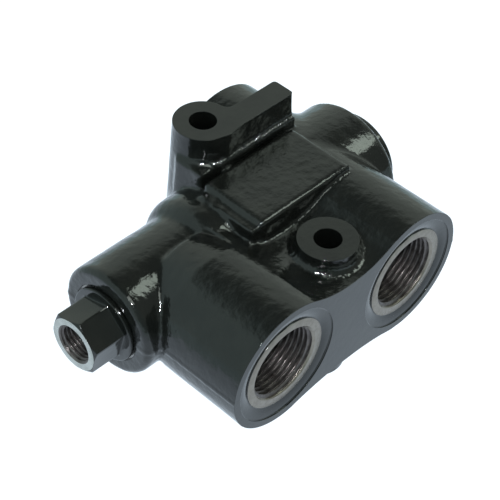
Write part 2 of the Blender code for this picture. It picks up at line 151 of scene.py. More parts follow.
# Bore, grooves and passages
BORE_R = 9.0
GROOVE_R = 12.5
GROOVE_HALF_WIDTH = 6.0
PASSAGE_R = 5.5
LEFT_PASSAGE_X = -22.0
REAR_PASSAGE_X = 19.2
RIGHT_PASSAGE_X = 34.0
PLUG_BORE_R = 13.5
PLUG_BORE_X = 47.0
ADAPTER_BORE_R = 10.3
ADAPTER_BORE_X = -44.0
ADAPTER_RECESS_R = 13.3
ADAPTER_RECESS_X = -55.0
PORTS = ((-PORT_X, FRONT_Y, -1), (PORT_X, FRONT_Y, -1), (REAR_PORT_X, REAR_Y, 1))  # x, face and outward way

CAST_SKIN, MILLED, RING, THREAD, BORED = range(5)  # the body's material slots


# ---------------- materials


class Nodes:
    """Short ways to add nodes to a node tree; inputs go by name, and are values or sockets."""

    def __init__(self, tree):
        self.tree = tree

    def put(self, socket, value):
        if isinstance(value, bpy.types.NodeSocket):
            self.tree.links.new(value, socket)
        else:
            socket.default_value = value

    def feed(self, made, **inputs):
        for key, value in inputs.items():
            self.put(made.inputs[key.replace("_", " ")], value)

    def add(self, kind, settings=None, **inputs):
        made = self.tree.nodes.new(kind)
        for key, value in (settings or {}).items():
            setattr(made, key, value)
        self.feed(made, **inputs)
        return made

    def remap(self, value, low, high, to_low=0.0, to_high=1.0):
        """A smooth step from one range of values to another."""
        made = self.add("ShaderNodeMapRange", {"interpolation_type": "SMOOTHSTEP"}, Value=value)
        for socket, number in zip(made.inputs[1:5], (low, high, to_low, to_high)):
            socket.default_value = number
        return made.outputs["Result"]

    def mix(self, factor, first, second):
        made = self.add("ShaderNodeMix", {"data_type": "RGBA"}, Factor=factor)
        made.inputs[6].default_value = (*first, 1.0)
        made.inputs[7].default_value = (*second, 1.0)
        return made.outputs[2]

    def maths(self, operation, first, second):
        made = self.add("ShaderNodeMath", {"operation": operation}, Value=first)
        self.put(made.inputs[1], second)
        return made.outputs[0]

    def split_by_ray(self, seen_by_camera, seen_otherwise, output):
        made = self.tree.nodes.new("ShaderNodeMixShader")
        self.put(made.inputs[0], self.add("ShaderNodeLightPath").outputs["Is Camera Ray"])
        self.put(made.inputs[1], seen_otherwise)
        self.put(made.inputs[2], seen_by_camera)
        self.put(output.inputs["Surface"], made.outputs[0])


class Recipe(Nodes):
    """A material under construction, in the object's own coordinates."""

    def __init__(self, name):
        self.material = bpy.data.materials.new(name)
        self.material.use_nodes = True
        super().__init__(self.material.node_tree)
        self.shader = self.tree.nodes["Principled BSDF"]
        self.place = self.add("ShaderNodeTexCoord").outputs["Object"]

    def about_spool(self):
        """Coordinates that run along the spool axis and out from it, the same all the way round."""
        made = self.add("ShaderNodeVectorMath", {"operation": "SUBTRACT"}, Vector=self.place)
        made.inputs[1].default_value = ORIGIN
        split = self.add("ShaderNodeSeparateXYZ", Vector=made.outputs[0])
        flat = self.add("ShaderNodeCombineXYZ", Y=split.outputs["Y"], Z=split.outputs["Z"])
        out = self.add("ShaderNodeVectorMath", {"operation": "LENGTH"}, Vector=flat.outputs[0])
        both_ways = self.add("ShaderNodeCombineXYZ", X=split.outputs["X"], Y=out.outputs["Value"])
        return both_ways.outputs[0]

    def noise(self, scale, detail=2.0, roughness=0.5, place=None):
        """Noise with features of about 1 / scale millimetres."""
        place = place or self.place
        inputs = {"Vector": place, "Scale": scale / MM, "Detail": detail, "Roughness": roughness}
        return self.add("ShaderNodeTexNoise", **inputs).outputs["Fac"]

    def bump(self, height, distance_mm, strength=1.0, under=None):
        made = self.add("ShaderNodeBump", Height=height, Distance=distance_mm * MM, Strength=strength)
        if under is not None:
            self.tree.links.new(under, made.inputs["Normal"])
        return made.outputs["Normal"]

    def soft_edges(self, radius_mm):
        return self.add("ShaderNodeBevel", {"samples": 6}, Radius=radius_mm * MM).outputs["Normal"]

    def finish(self, **inputs):
        self.feed(self.shader, **inputs)
        return self.material


def black_paint(name, ripple, grain, roughness, edge=0.35):
    """Thick gloss black paint; ripple and grain are the heights in mm of its unevenness."""
    recipe = Recipe(name)
    cloud = recipe.noise(0.12, 3.0)
    speck = recipe.noise(1.6, 2.0)
    cloud = recipe.remap(cloud, 0.35, 0.65)
    colour = recipe.mix(cloud, (0.0080, 0.0084, 0.0080), (0.0128, 0.0130, 0.0118))
    rough = recipe.remap(speck, 0.35, 0.7, roughness * 0.75, roughness * 1.5)
    edges = recipe.soft_edges(edge)
    slow = recipe.bump(recipe.noise(0.42, 2.0, 0.45), ripple, under=edges)
    fine = recipe.bump(recipe.noise(1.5, 3.0, 0.55), grain, under=slow)
    return recipe.finish(Base_Color=colour, Roughness=rough, Normal=fine)


def bare_iron(name, light, dark, roughness, grain=0.01, edge=0.2):
    """Machined cast iron with a faint fine grain, stains and pores."""
    recipe = Recipe(name)
    stain = recipe.remap(recipe.noise(0.35, 4.0, 0.6), 0.35, 0.68)
    colour = recipe.mix(stain, light, dark)
    rough = recipe.remap(recipe.noise(1.1, 3.0), 0.3, 0.7, roughness * 0.8, roughness * 1.25)
    fine = recipe.bump(recipe.noise(4.0, 2.0), grain, under=recipe.soft_edges(edge))
    return recipe.finish(Base_Color=colour, Metallic=1.0, Roughness=rough, Normal=fine)


def turned_metal(name, light, dark, roughness, mark=0.004):
    """Metal turned or ground about the spool axis, with fine rings and a slight tarnish."""
    recipe = Recipe(name)
    rings = recipe.noise(2.2, 3.0, 0.6, recipe.about_spool())
    tarnish = recipe.remap(recipe.noise(0.3, 3.0), 0.35, 0.7)
    colour = recipe.mix(tarnish, light, dark)
    rough = recipe.remap(rings, 0.3, 0.7, roughness * 0.75, roughness * 1.3)
    fine = recipe.bump(rings, mark, under=recipe.soft_edges(0.1))
    return recipe.finish(Base_Color=colour, Metallic=1.0, Roughness=rough, Normal=fine)


def nitrile_rubber(name):
    """Moulded black rubber with a faint bloom."""
    recipe = Recipe(name)
    bloom = recipe.remap(recipe.noise(0.8, 4.0, 0.6), 0.4, 0.75)
    colour = recipe.mix(bloom, (0.012, 0.012, 0.013), (0.032, 0.032, 0.03))
    rough = recipe.remap(bloom, 0.0, 1.0, 0.38, 0.62)
    fine = recipe.bump(recipe.noise(9.0, 2.0), 0.006)
    return recipe.finish(Base_Color=colour, Roughness=rough, Normal=fine)


def ptfe(name):
    """Waxy off-white PTFE with skiving marks."""
    recipe = Recipe(name)
    marks = recipe.noise(3.0, 2.0, 0.5, recipe.about_spool())
    colour = recipe.mix(recipe.remap(marks, 0.35, 0.65), (0.78, 0.77, 0.72), (0.66, 0.65, 0.6))
    fine = recipe.bump(marks, 0.006)
    return recipe.finish(Base_Color=colour, Roughness=0.42, Normal=fine)


def sintered_bronze(name):
    """Small bronze balls sintered together, with painted shade towards each ball's rim and in the gaps
    between them.
    """
    recipe = Recipe(name)
    balls = recipe.add("ShaderNodeTexVoronoi", Vector=recipe.place, Scale=3.2 / MM).outputs["Distance"]
    # Painted shade: the colour darkens from each ball's middle towards its rim and into the pores between
    # balls.
    colour = recipe.mix(recipe.remap(balls, 0.1, 0.7), (0.62, 0.43, 0.2), (0.14, 0.085, 0.04))
    fine = recipe.bump(recipe.remap(balls, 0.0, 0.8, 1.0, 0.0), 0.12)
    return recipe.finish(Base_Color=colour, Metallic=1.0, Roughness=0.38, Normal=fine)


CAST_PAINT = black_paint("cast_black_paint", 0.16, 0.03, 0.07)
MACHINED_PAINT = black_paint("machined_black_paint", 0.03, 0.012, 0.09, 0.18)
HEX_PAINT = black_paint("hexagon_black_paint", 0.03, 0.008, 0.07)
PORT_RING = bare_iron("bare_port_ring", (0.245, 0.222, 0.19), (0.205, 0.182, 0.155), 0.36)
THREAD_IRON = bare_iron("threaded_iron", (0.15, 0.135, 0.13), (0.10, 0.088, 0.084), 0.42, 0.003, 0.06)
BORE_IRON = bare_iron("bored_iron", (0.30, 0.29, 0.28), (0.2, 0.19, 0.18), 0.25)
HEX_FACE = bare_iron("bare_hexagon_face", (0.46, 0.47, 0.44), (0.36, 0.37, 0.34), 0.3)
GROUND_STEEL = turned_metal("ground_spool_steel", (0.60, 0.60, 0.61), (0.5, 0.49, 0.48), 0.14, 0.002)
TURNED_STEEL = turned_metal("turned_bare_steel", (0.46, 0.45, 0.43), (0.34, 0.32, 0.30), 0.3)
SPRING_STEEL = turned_metal("drawn_spring_steel", (0.2, 0.2, 0.21), (0.11, 0.1, 0.1), 0.27)
BRASS = turned_metal("turned_brass", (0.62, 0.45, 0.19), (0.46, 0.31, 0.12), 0.26)
SINTERED = sintered_bronze("sintered_bronze")
NITRILE = nitrile_rubber("nitrile_rubber")
PTFE = ptfe("white_ptfe")


# ---------------- mesh making


def mesh_from(name, points, faces):
    mesh = bpy.data.meshes.new(name)
    mesh.from_pydata([tuple(point) for point in points], [], faces)
    bm = bmesh.new()
    bm.from_mesh(mesh)
    bmesh.ops.remove_doubles(bm, verts=bm.verts, dist=0.0001)
    bmesh.ops.recalc_face_normals(bm, faces=bm.faces)
    bm.to_mesh(mesh)
    bm.free()
    return mesh


def add_shape(name, mesh):
    """An object in millimetres about the origin, until settle() puts it in the frame."""
    made = bpy.data.objects.new(name, mesh)
    bpy.context.scene.collection.objects.link(made)
    return made


def loft(name, rings, loop=False):
    """A mesh through rings of points, with a face over each end, or joined end to start."""
    count, sides = rings.shape[:2]
    faces = []
    for step in range(count if loop else count - 1):
        here, there = step * sides, (step + 1) % count * sides
        for side in range(sides):
            after = (side + 1) % sides
            faces.append((here + side, here + after, there + after, there + side))
    if not loop:
        faces.append(tuple(range(sides)))
        faces.append(tuple(range((count - 1) * sides, count * sides)))
    return add_shape(name, mesh_from(name, rings.reshape(-1, 3), faces))


def axis_points(axis, centre, radii, alongs, angles):
    """Points about an axis: radii and alongs, measured on the axis, broadcast against angles."""
    radii, alongs, angles = np.broadcast_arrays(radii, alongs, angles)
    first, second = radii * np.cos(angles), radii * np.sin(angles)
    order = {"x": (alongs, first, second), "y": (second, alongs, first), "z": (first, second, alongs)}
    return np.stack(order[axis], axis=-1) + np.array(centre, float)


def rounded_outline(corners, loop=True, steps=4):
    """An outline whose corners, given as (radius, along, rounding), are drawn as small arcs."""
    points = []
    count = len(corners)
    for index, (radius, along, rounding) in enumerate(corners):
        here = Vector((radius, along))
        ends = not loop and index in (0, count - 1)
        if not rounding or ends:
            points.append(here)
            continue
        before = Vector(corners[index - 1][:2]) - here
        after = Vector(corners[(index + 1) % count][:2]) - here
        half = before.angle(after) / 2
        reach = min(rounding / tan(half), before.length * 0.49, after.length * 0.49)
        start, end = here + before.normalized() * reach, here + after.normalized() * reach
        for step in range(steps + 1):
            t = step / steps
            points.append(start * (1 - t) ** 2 + here * 2 * t * (1 - t) + end * t**2)
    return points


def turned(name, corners, loop=True, sides=96, axis="x", centre=(0, 0, 0)):
    """A turned shape from an outline of (radius, along, rounding) corners."""
    outline = rounded_outline(corners, loop)
    radii = np.array([max(point.x, 0.0) for point in outline])[:, None]
    alongs = np.array([point.y for point in outline])[:, None]
    angles = np.linspace(0, 2 * pi, sides, endpoint=False)[None, :]
    return loft(name, axis_points(axis, centre, radii, alongs, angles), loop)


def apply_cut(body, cutters, operation="DIFFERENCE"):
    """Cuts body with each cutter in turn, or joins each to it, and deletes the cutters."""
    for cutter in cutters:
        modifier = body.modifiers.new("cut", "BOOLEAN")
        modifier.operation = operation
        modifier.object = cutter
        modifier.solver = "MANIFOLD"
        bpy.context.view_layer.update()
        shape = body.evaluated_get(bpy.context.evaluated_depsgraph_get())
        mesh = bpy.data.meshes.new_from_object(shape)
        body.modifiers.clear()
        body.data = mesh
        bpy.data.objects.remove(cutter, do_unlink=True)


def block(name, low, high):
    """A box between two corners, made as a square loft."""
    (x0, y0, z0), (x1, y1, z1) = low, high
    square = [(x0, y0), (x1, y0), (x1, y1), (x0, y1)]
    rings = np.array([[(x, y, z) for x, y in square] for z in (z0, z1)], float)
    return loft(name, rings)


def prism(name, axis, centre, radius, low, high, sides=72, spin=0.0):
    angles = np.linspace(0, 2 * pi, sides, endpoint=False)[None, :] + radians(spin)
    alongs = np.array([[low], [high]])
    return loft(name, axis_points(axis, centre, radius, alongs, angles))


def give_finishes(mesh, *finishes):
    mesh.materials.clear()
    for finish in finishes:
        mesh.materials.append(finish)


def settle(piece, body, replaced, sharp=34):
    """Puts a piece in the frame's metres, shades it, hangs it on the body it rides on and hides the CAD
    parts it stands for.
    """
    mesh = piece.data
    mesh.transform(Matrix.Translation(ORIGIN) @ Matrix.Scale(MM, 4))
    mesh.shade_smooth()
    mesh.set_sharp_from_angle(angle=radians(sharp))
    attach(piece, body)
    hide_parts(*replaced)
    return piece


def threaded_hole(name, axis, centre, outward, outline, thread, start, end, floor, sides=72):
    """A cutter for a threaded hole: outline holds (radius, depth) down to the thread."""
    minor, groove, pitch = thread
    angles = np.linspace(0, 2 * pi, sides, endpoint=False)
    rings = [(np.full(sides, radius), depth) for radius, depth in outline]
    steps = int((end - start) / (pitch / 11))
    chamfer_r, chamfer_depth = outline[-1]
    for depth in np.linspace(start, end, steps + 1)[1:]:
        turn = (depth / pitch - angles * outward / (2 * pi)) % 1.0
        wave = np.clip((1.0 - np.abs(2 * turn - 1.0) - 0.14) / 0.72, 0.0, 1.0)
        fade = min(1.0, (end - depth) / pitch)
        chamfer = chamfer_r - (depth - chamfer_depth)
        rings.append((np.maximum(minor + groove * wave * fade, chamfer), depth))
    rings += [(np.full(sides, radius), depth) for radius, depth in floor]
    points = [axis_points(axis, centre, radii, -outward * depth, angles) for radii, depth in rings]
    return loft(name, np.array(points))


# ---------------- the cast body


def grid_of_points():
    low = np.array([LEFT_END_X - 4, FRONT_Y - 4 - MACHINING, FOOT_Z - 4 - MACHINING])
    high = np.array([RIGHT_END_X + 4, REAR_Y + 4 + MACHINING, RIB_TOP_Z + 4 + MACHINING])
    axes = [np.arange(start, stop, VOXEL, dtype=np.float32) for start, stop in zip(low, high)]
    return low, np.meshgrid(*axes, indexing="ij")


GRID_LOW, (GX, GY, GZ) = grid_of_points()


def both(first, second, edge):
    """Where two distances are both inside, with the edge between them rounded."""
    a, b = first + edge, second + edge
    return np.minimum(np.maximum(a, b), 0) + np.hypot(np.maximum(a, 0), np.maximum(b, 0)) - edge


def either(first, second, fillet):
    """Two distances joined, with a fillet in the corner between them."""
    a, b = np.maximum(fillet - first, 0), np.maximum(fillet - second, 0)
    return np.maximum(fillet, np.minimum(first, second)) - np.hypot(a, b)


def rod(axis, centre, radius, low, high, edge):
    """Distance to a rod along an axis, from low to high, with rounded end edges."""
    coords = {"x": (GX, GY, GZ), "y": (GY, GX, GZ), "z": (GZ, GX, GY)}[axis]
    radial = np.hypot(coords[1] - centre[0], coords[2] - centre[1]) - radius
    ends = np.abs(coords[0] - (low + high) / 2) - (high - low) / 2
    return both(radial, ends, edge)


def slab(low, high, edge, slope=0.0):
    """Distance to a box with rounded edges, whose sides lean out downwards by slope."""
    lean = slope * (high[2] - GZ)
    sides = [
        np.abs(grid - (lo + hi) / 2) - (hi - lo) / 2 - extra
        for grid, lo, hi, extra in zip((GX, GY, GZ), low, high, (lean, lean, 0.0))
    ]
    return both(both(sides[0], sides[1], edge), sides[2], edge)


def bolt_boss_distance(place, top):
    heights = (FOOT_Z - MACHINING, BOLT_BOSS_MIDDLE_Z, top)
    radius = np.interp(GZ, heights, (BOLT_BOSS_FOOT_R, BOLT_BOSS_MIDDLE_R, BOLT_BOSS_TOP_R))
    radial = np.hypot(GX - place[0], GY - place[1]) - radius
    low, high = FOOT_Z - MACHINING, top + MACHINING
    return both(radial, np.abs(GZ - (low + high) / 2) - (high - low) / 2, 0.5)


def web_arc(waist):
    """Radius of the hollow arc that gives the web this least height, and how far to each side it runs."""
    hollow_r = (PORT_X**2 + waist**2 - PORT_BOSS_R**2) / (2 * (PORT_BOSS_R - waist))
    return hollow_r, PORT_X * hollow_r / (PORT_BOSS_R + hollow_r)


def web_distance():
    """The web between the front ports: hollow arcs that run tangent into both port bosses."""
    halves = []
    for waist, height in zip(WEB_WAIST, (GZ, -GZ)):
        hollow_r, reach = web_arc(waist)
        centre_z = waist + hollow_r
        across = hollow_r - np.hypot(GX, height - centre_z)
        halves.append(np.maximum(across, np.maximum(np.abs(GX) - reach - 1.0, height - centre_z)))
    flat = np.where(GZ > 0, *halves)
    front, back = FRONT_Y - MACHINING, WEB_BACK_Y
    return np.maximum(flat, np.abs(GY - (front + back) / 2) - (back - front) / 2)


def barrel_distance():
    """The barrel, which steps down in a soft cone to the left boss, and ends squarely at the right."""
    radius = np.interp(GX, *zip(*SHOULDER))
    radial = (np.hypot(GY, GZ) - radius) * SHOULDER_SLOPE
    return both(np.maximum(radial, SHOULDER[0][0] - GX), GX - RIGHT_END_X, 1.1)


def left_port_distance():
    """The left port boss, which draws in towards its back end."""
    radius = np.interp(GY, (LEFT_PORT_TAPER[0], LEFT_PORT_BACK), (PORT_BOSS_R, LEFT_PORT_TAPER[1]))
    radial = np.hypot(GX + PORT_X, GZ) - radius
    return np.maximum(both(radial, GY - LEFT_PORT_BACK, 1.5), FRONT_Y - MACHINING - GY)


def ragged(radius):
    """A fillet radius that wanders along the casting, as thick paint gathers in its corners."""
    waves = np.sin(1.9 * GX + 0.7 * GY + 0.4 * GZ) + np.sin(0.8 * GX - 1.6 * GY + 1.1 * GZ + 2.0)
    waves += 0.8 * np.sin(3.1 * GX + 2.3 * GY - 1.7 * GZ + 4.0)
    return radius * (1.0 + 0.16 * waves)


def casting_distance():
    """Signed distance to the unmachined casting."""
    left_boss = rod("x", (0, 0), LEFT_BOSS_R, LEFT_END_X, 0.0, 2.2)
    before_front = FRONT_Y - MACHINING - GY
    right_port = np.maximum(rod("y", (PORT_X, 0), PORT_BOSS_R, FRONT_Y - 20, 0.0, 3.0), before_front)
    rear_port = rod("y", (REAR_PORT_X, 0), REAR_BOSS_R, 0.0, REAR_Y + 20, 1.5)
    rear_port = np.maximum(rear_port, GY - REAR_Y - MACHINING)
    pad = slab(*PAD, 1.7, 0.02)
    strip = slab(*PAD_STRIP, 0.7, 0.03)
    root = slab(*RIB_ROOT, 0.7, 0.02)
    rib = slab(*RIB, 1.0, 0.03)
    ports = either(np.minimum(left_port_distance(), web_distance()), right_port, 0.6)
    shape = either(barrel_distance(), left_boss, 1.2)
    shape = either(shape, ports, 0.6)
    shape = either(shape, rear_port, 2.0)
    shape = either(shape, root, 0.9)
    shape = either(shape, strip, ragged(1.4))
    shape = either(shape, pad, np.where(GY > 3.0, 0.5, 1.2))
    shape = either(shape, rib, 0.9)
    shape = either(shape, bolt_boss_distance(REAR_BOLT, RIB_TOP_Z), 2.6)
    return either(shape, bolt_boss_distance(MID_BOLT, MID_TOP_Z), 2.0)


def parting_line(shape):
    """The shape with a low ridge where the two halves of the mould met, level with the spool axis."""
    height, width = PARTING_RIDGE
    return shape - height * np.exp(-((GZ / width) ** 2))


def cast_mesh():
    """The casting's skin as a mesh, with the slight unevenness of sand-cast iron under thick paint."""
    distance = parting_line(casting_distance())
    grid = openvdb.FloatGrid(BAND)
    grid.copyFromArray(np.clip(distance, -BAND, BAND).astype(np.float32))
    points, triangles, quads = grid.convertToPolygons(isovalue=0.0, adaptivity=0.0)
    points = points * VOXEL + GRID_LOW
    faces = [tuple(int(i) for i in face) for face in list(quads) + list(triangles)]
    mesh = mesh_from("valve_body", points, faces)
    normals = [vertex.normal.copy() for vertex in mesh.vertices]
    for vertex, normal in zip(mesh.vertices, normals):
        here = vertex.co
        swell = 0.10 * noise.noise(here * 0.11) + 0.05 * noise.noise(here * 0.33)
        vertex.co = here + normal * swell
    return add_shape("valve_body", mesh)


def wander(place, coarse, fine, seed):
    """Unevenness along a place in mm, of these heights, over about 2 mm and 0.6 mm."""
    slow = noise.noise(Vector((place * 0.55, seed, 0.0)))
    quick = noise.noise(Vector((place * 1.7, 0.0, seed)))
    return coarse * slow + fine * quick


def rib_ledge():
    """The narrow ledge at the rib's foot, where thick paint lies in an uneven line."""
    rings = []
    for x in np.arange(*LEDGE_X, LEDGE_STEP):
        least = radians(25.5 + 4.0 * noise.noise(Vector((x * 0.9, 20.0, 0.0))))
        flattest = 1 - sin(least)
        middle_z = ROOT_TOP_Z - 0.1 + wander(x, 0.5, 0.75, 3.0)
        boss_front = REAR_BOLT[1] - sqrt(max(LEDGE_BOSS_R**2 - (x - REAR_BOLT[0]) ** 2, 0))
        wall = max(RIB_FRONT_Y - 0.33, boss_front + 0.1 if x < REAR_BOLT[0] else 0.0)
        face = min(wall - 2 * LEDGE_ROUND * flattest, ROOT_FRONT_Y + 0.1)
        points = [(wall + 2.5, middle_z + 3.0), (wall + 0.5, middle_z + 3.0)]
        for lean in np.linspace(pi / 2, least, 8):
            rise = LEDGE_ROUND * (cos(least) - cos(lean))
            points.append((wall - LEDGE_ROUND * (1 - sin(lean)), middle_z + rise))
        face_r = (points[-1][0] - face) / flattest
        for lean in np.linspace(least, pi / 2, 8)[1:]:
            drop = face_r * (cos(lean) - cos(least))
            points.append((face + face_r * (1 - sin(lean)), middle_z + drop))
        points += [(face + 0.25, middle_z - 3.2), (wall + 2.5, middle_z - 3.2)]
        rings.append([(x, y, z) for y, z in points])
    return loft("rib_ledge", np.array(rings))


def bead(name, path, radius, seed, loop=False):
    """Paint gathered in a corner; path holds points, each with its wall's and floor's normals."""
    rings = []
    along = 0.0
    before = path[0][0]
    for corner, wall, floor in path:
        along += (corner - before).length
        before = corner
        round_r = radius * (1.0 + wander(along, 0.16, 0.26, seed))
        centre = corner + (wall + floor) * round_r
        leans = np.linspace(pi / 2, 0, 13)
        ring = [centre - (wall * sin(lean) + floor * cos(lean)) * round_r for lean in leans]
        ring.append(corner + wall * (round_r + 0.5) - floor * 0.5)
        ring.append(corner - wall - floor)
        ring.append(corner + floor * (round_r + 0.5) - wall * 0.5)
        rings.append([tuple(point) for point in ring])
    return loft(name, np.array(rings), loop)


def web_top(x):
    """Height and slope of the web or the port boss on top, at x."""
    waist = WEB_WAIST[0]
    hollow_r, reach = web_arc(waist)
    if abs(x) < reach:
        drop = sqrt(hollow_r**2 - x * x)
        return waist + hollow_r - drop, x / drop
    aside = abs(x) - PORT_X
    height = sqrt(PORT_BOSS_R**2 - aside**2)
    return height, -aside / height * (1 if x > 0 else -1)


def paint_beads():
    """Uneven beads of paint along the foot of the pad's front and round the foot of the middle bolt boss."""

    def corner(x, y, wall):
        height, slope = web_top(x)
        return Vector((x, y, height)), wall, Vector((-slope, 0, 1)).normalized()

    forward = Vector((0, -1, 0))
    foot = [corner(x, PAD_FRONT_Y, forward) for x in np.arange(*PAD_BEAD_X, PAD_BEAD_STEP)]
    around = []
    for angle in np.linspace(0, 2 * pi, BOSS_BEAD_STEPS, endpoint=False):
        wall = Vector((sin(angle), -cos(angle), 0))
        place = Vector((*MID_BOLT, 0)) + wall * BOSS_BEAD_WALL
        around.append(corner(place.x, place.y, wall))
    return [bead("pad_bead", foot, PAD_BEAD_R, 5.0), bead("boss_bead", around, BOSS_BEAD_R, 8.0, True)]


def machining_cutters():
    """Flat faces milled on the casting, and its bolt holes."""
    far = 90.0
    cutters = [
        block("front_face", (-far, FRONT_Y - 9, -far), (far, FRONT_Y, far)),
        block("rear_face", (-far, REAR_Y, -far), (far, REAR_Y + 9, far)),
        block("feet", (-far, -far, FOOT_Z - 9), (far, far, FOOT_Z)),
        block("rib_top", (-far, 0.0, RIB_TOP_Z), (far, far, RIB_TOP_Z + 9)),
        prism("mid_boss_top", "z", (*MID_BOLT, 0), 12.5, MID_TOP_Z, MID_TOP_Z + 9),
    ]
    for place in (REAR_BOLT, MID_BOLT):
        cutters.append(prism("bolt_hole", "z", (*place, 0), BOLT_HOLE_R, FOOT_Z - 5, RIB_TOP_Z + 5))
    return cutters


def port_cutter(x, face_y, outward):
    """The tool form of a threaded port, with its chamfer, raised sealing ring and spotfaced recess."""
    outline = [
        (PORT_RECESS_R, -4.0),
        (PORT_RECESS_R, PORT_RECESS_WALL - 0.2),
        (PORT_RECESS_R - 0.15, PORT_RECESS_WALL - 0.05),
        (PORT_RECESS_R - 0.4, PORT_RECESS_WALL),
        (PORT_RECESS_R - 1.2, PORT_RECESS_WALL + 0.04),
        (PORT_RECESS_INNER_R, PORT_FACE_DEPTH + 0.15),
        (PORT_RECESS_INNER_R - 0.2, PORT_FACE_DEPTH + 0.25),
        (PORT_FACE_R + 0.1, PORT_FACE_DEPTH + 0.25),
        (PORT_FACE_R, PORT_FACE_DEPTH + 0.05),
        (PORT_FACE_R - 0.1, PORT_FACE_DEPTH),
        (PORT_CHAMFER_R, PORT_FACE_DEPTH),
    ]
    end = PORT_THREAD_END
    floor = [(PORT_FLOOR_R, end + PORT_FLOOR_DEPTH), (0.5, end + PORT_FLOOR_DEPTH)]
    return threaded_hole(
        "port", "y", (x, face_y, 0), outward, outline, PORT_THREAD, PORT_FACE_DEPTH, end, floor
    )


def bore_cutter():
    """The stepped bore for the spool, with its flow grooves and the seats of adapter and plug."""
    steps = [(0.4, 62.0), (PLUG_BORE_R, 62.0), (PLUG_BORE_R, PLUG_BORE_X), (BORE_R, PLUG_BORE_X)]
    for middle in (RIGHT_PASSAGE_X, REAR_PASSAGE_X, LEFT_PASSAGE_X):
        right, left = middle + GROOVE_HALF_WIDTH, middle - GROOVE_HALF_WIDTH
        steps += [(BORE_R, right), (GROOVE_R, right), (GROOVE_R, left), (BORE_R, left)]
    steps += [
        (BORE_R, ADAPTER_BORE_X), (ADAPTER_BORE_R, ADAPTER_BORE_X), (ADAPTER_BORE_R, ADAPTER_RECESS_X),
        (ADAPTER_RECESS_R, ADAPTER_RECESS_X), (ADAPTER_RECESS_R, -62.0), (0.4, -62.0),
    ]
    return turned("bore", [(radius, x, 0) for radius, x in steps], loop=False)


def passage_cutters():
    front, rear = FRONT_Y + 16.5, REAR_Y - 16.7
    ends = ((LEFT_PASSAGE_X, front, 0.0), (RIGHT_PASSAGE_X, front, 0.0), (REAR_PASSAGE_X, 0.0, rear))
    return [prism("passage", "y", (x, 0, 0), PASSAGE_R, low, high, 48) for x, low, high in ends]


def assign_finishes(mesh):
    """Gives each face of the body its finish, by where it lies."""
    count = len(mesh.polygons)
    centres, normals = np.zeros(count * 3), np.zeros(count * 3)
    mesh.polygons.foreach_get("center", centres)
    mesh.polygons.foreach_get("normal", normals)
    x, y, z = centres.reshape(-1, 3).T
    nx, ny, nz = normals.reshape(-1, 3).T
    near = 0.03
    finish = np.full(count, CAST_SKIN, np.int32)
    flat = (np.abs(y - FRONT_Y) < near) & (ny < -0.9) | (np.abs(y - REAR_Y) < near) & (ny > 0.9)
    flat |= (np.abs(z - RIB_TOP_Z) < near) & (nz > 0.9) | (np.abs(z - MID_TOP_Z) < near) & (nz > 0.99)
    flat |= (np.abs(z - FOOT_Z) < near) & (nz < -0.9)
    finish[flat] = MILLED
    for port_x, face_y, outward in PORTS:
        radius, depth = np.hypot(x - port_x, z), (face_y - y) * outward
        inside = (radius < PORT_RECESS_R + 0.1) & (depth > near) & (depth < PORT_THREAD_END + 3)
        finish[inside] = MILLED
        finish[inside & (radius < PORT_FACE_R + 0.02)] = RING
        finish[inside & (radius < PORT_CHAMFER_R + 0.2) & (depth > PORT_FACE_DEPTH + 0.9)] = THREAD
    axial = np.hypot(y, z)
    bore = (axial < PLUG_BORE_R + 0.1) & (x > ADAPTER_RECESS_X - 0.1) & (x < RIGHT_END_X + 1)
    away = (ny * y + nz * z) < 0.3 * axial
    finish[bore & away] = BORED
    for place in (REAR_BOLT, MID_BOLT):
        finish[(np.hypot(x - place[0], y - place[1]) < BOLT_HOLE_R + 0.02) & (np.abs(nz) < 0.5)] = MILLED
    mesh.polygons.foreach_set("material_index", finish)


def make_body():
    body = cast_mesh()
    apply_cut(body, [rib_ledge()] + paint_beads(), "UNION")
    apply_cut(body, machining_cutters())
    apply_cut(body, [port_cutter(*port) for port in PORTS])
    apply_cut(body, [bore_cutter()] + passage_cutters())
    give_finishes(body.data, CAST_PAINT, MACHINED_PAINT, PORT_RING, THREAD_IRON, BORE_IRON)
    assign_finishes(body.data)
    return settle(body, "housing", ["valve_body"])


# ---------------- adapter, plug, spool and fittings

HEX_AF = 18.0
HEX_TURN = -17.0
HEX_EDGE = 0.45  # rounding of the hexagon's long edges
ADAPTER_END_X, ADAPTER_INNER_X, _ = span("ls_port_adapter")
PLUG_INNER_X, PLUG_END_X, PLUG_HEAD_R = span("end_plug")
SPOOL_LEFT_X, SPOOL_RIGHT_X, SPOOL_R = span("priority_spool")
SCREW_THREAD = (0.7, 1.5)  # depth and pitch of the adapter's and the plug's outside threads
JET_THREAD = (0.3, 0.7)
ADAPTER_THREAD_R = 9.95
ADAPTER_THREAD_END_X = -52.1
ADAPTER_NECK_R = 8.4
ADAPTER_FLANGE_R = 12.7
ADAPTER_FLANGE_X = (-57.3, -55.3)
ADAPTER_CHAMFER_R = 9.1  # the hexagon's corners are turned off to this at its end face
ADAPTER_CHAMFER_SLOPE = 1.6
ADAPTER_MOUTH_R = 6.82
PLUG_THREAD_R = 13.2
PLUG_THREAD_END_X = 51.4
PLUG_NECK_R = 11.3
PLUG_HEAD_X = 54.9
PLUG_CUP_R = 9.8
PLUG_CUP_X = 53.3
PLUG_SOCKET_AF = 12.0
PLUG_SOCKET_DEPTH = 4.4
SPRING_WIRE_R = 0.9
SPRING_TURNS = 5
SPRING_POCKET_R = 6.8
SPRING_POCKET_X = -23.5
SPOOL_LANDS = (  # each land's right and left end, and the radius of the waist after it
    (SPOOL_RIGHT_X, 43.0, 6.0),
    (30.0, 22.0, 5.4),
    (-22.0, SPOOL_LEFT_X, None),
)


def piece_name(node):
    return node + "_piece"


